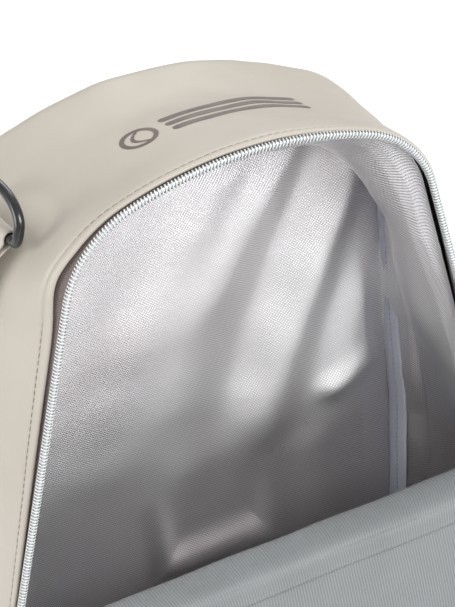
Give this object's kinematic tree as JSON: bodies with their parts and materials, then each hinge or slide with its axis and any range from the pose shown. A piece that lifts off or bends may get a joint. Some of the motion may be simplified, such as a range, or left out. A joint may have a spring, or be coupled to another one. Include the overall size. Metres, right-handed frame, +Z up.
{
  "type": "racket backpack",
  "caption": "Upright backpack in matte coated fabric for rackets and kit, with an insulated front compartment behind a drop-down zipped door.",
  "frame": {"origin": "on the floor under the base, below the middle of the bag, 88 mm behind the plane of the front zip", "axes": "+Z up; the front door faces -Y; the wearer is at +Y"},
  "size_m": [0.3094, 0.3105, 0.4799],
  "materials": {
    "taupe_leather": "smooth matte coated fabric with a fine grain",
    "zip_tape_brown": "woven zip tape, dark taupe",
    "zip_coil_silver": "silver-grey nylon coil",
    "zip_coil_dark": "dark taupe nylon coil",
    "zip_slider_silver": "satin silver zinc",
    "silver_foil": "metallised lining with a fine woven emboss",
    "grosgrain_grey": "ribbed binding tape",
    "ribbed_nylon": "light grey ribbed lining",
    "foam_white": "closed-cell foam",
    "black_metal": "black satin plating",
    "spacer_mesh": "knitted spacer mesh over foam",
    "webbing_taupe": "woven webbing",
    "acetal_taupe": "moulded acetal",
    "stiffener_board": "polypropylene board"
  },
  "bodies": {
    "shell": {"gusset": "taupe_leather", "base_panel": "taupe_leather", "front_lower_panel": "taupe_leather", "back_lower_wall": "taupe_leather", "door_fold_strip": "taupe_leather", "divider_wall": "foam_white", "base_board": "stiffener_board", "insulated_gusset_lining": "silver_foil", "insulated_back_lining": "silver_foil", "insulated_front_lining": "silver_foil", "seam_binding": "grosgrain_grey", "front_zip_tape_body": "zip_tape_brown", "front_zip_coil_body": "zip_coil_silver", "rear_zip_tape_gusset": "zip_tape_brown", "rear_zip_coil_gusset": "zip_coil_dark", "d_ring_tab": "taupe_leather"},
    "front_door": {"door_outer_skin": "taupe_leather", "door_foam": "foam_white", "door_inner_lining": "ribbed_nylon", "front_zip_coil_door": "zip_coil_silver", "front_zip_tape_door": "zip_tape_brown", "door_pocket": "taupe_leather"},
    "back_lid": {"back_panel": "taupe_leather", "back_pad_left": "spacer_mesh", "back_pad_right": "spacer_mesh", "lumbar_pad": "spacer_mesh", "rear_zip_coil_panel": "zip_coil_dark", "shoulder_strap_left": "spacer_mesh", "shoulder_strap_right": "spacer_mesh", "strap_webbing_left": "webbing_taupe", "strap_webbing_right": "webbing_taupe", "strap_adjuster_left": "acetal_taupe", "strap_adjuster_right": "acetal_taupe", "strap_anchor_left": "taupe_leather", "strap_anchor_right": "taupe_leather", "strap_yoke": "taupe_leather", "carry_handle": "webbing_taupe"},
    "pocket_slider": {"pocket_slider": "black_metal"},
    "front_slider_left": {"front_slider_left": "zip_slider_silver"},
    "front_slider_right": {"front_slider_right": "zip_slider_silver"},
    "front_pull_left": {"front_pull_left": "zip_slider_silver"},
    "front_pull_right": {"front_pull_right": "zip_slider_silver"},
    "d_ring": {"d_ring": "black_metal"},
    "rear_slider_left": {"rear_slider_left": "black_metal"},
    "rear_slider_right": {"rear_slider_right": "black_metal"},
    "rear_pull_left": {"rear_pull_left": "black_metal"},
    "rear_pull_right": {"rear_pull_right": "black_metal"}
  },
  "joints": [
    {"name": "front_door_hinge", "type": "hinge", "parent": "shell", "child": "front_door", "pos_m": [0, -0.0965, 0.24], "axis": [-1, 0, 0], "range_deg": [0, 160]},
    {"name": "front_slider_left_slide", "type": "slide", "parent": "shell", "child": "front_slider_left", "axis": [0.247, 0, 0.969], "range_m": [0, 0.16]},
    {"name": "front_pull_left_hinge", "type": "hinge", "parent": "front_slider_left", "child": "front_pull_left", "pos_m": [-0.14172, -0.0967, 0.2555], "axis": [-1, 0, 0], "range_deg": [-5, 170]},
    {"name": "front_slider_right_slide", "type": "slide", "parent": "shell", "child": "front_slider_right", "axis": [-0.247, 0, 0.969], "range_m": [0, 0.16]},
    {"name": "front_pull_right_hinge", "type": "hinge", "parent": "front_slider_right", "child": "front_pull_right", "pos_m": [0.14172, -0.0967, 0.2555], "axis": [-1, 0, 0], "range_deg": [-5, 170]},
    {"name": "d_ring_hinge", "type": "hinge", "parent": "shell", "child": "d_ring", "pos_m": [-0.10535, -0.02958, 0.4435], "axis": [0.0967, -0.9953, 0], "range_deg": [-18, 115]},
    {"name": "back_lid_hinge", "type": "hinge", "parent": "shell", "child": "back_lid", "pos_m": [0, 0.078, 0.05], "axis": [-1, 0, 0], "range_deg": [0, 75]},
    {"name": "rear_slider_left_round", "type": "hinge", "parent": "back_lid", "child": "rear_slider_left", "pos_m": [0, 0.07225, 0.23987], "axis": [0, -1, 0], "range_deg": [0, 40]},
    {"name": "rear_pull_left_hinge", "type": "hinge", "parent": "rear_slider_left", "child": "rear_pull_left", "pos_m": [0.05323, 0.0841, 0.4266], "axis": [1, 0, 0], "range_deg": [0, 170]},
    {"name": "rear_slider_right_round", "type": "hinge", "parent": "back_lid", "child": "rear_slider_right", "pos_m": [0, 0.07225, 0.23987], "axis": [0, 1, 0], "range_deg": [0, 8]},
    {"name": "rear_pull_right_hinge", "type": "hinge", "parent": "rear_slider_right", "child": "rear_pull_right", "pos_m": [0.06734, 0.0841, 0.42202], "axis": [1, 0, 0], "range_deg": [0, 170]},
    {"name": "pocket_slider_slide", "type": "slide", "parent": "front_door", "child": "pocket_slider", "axis": [1, 0, 0], "range_m": [0, 0.098]}
  ]
}
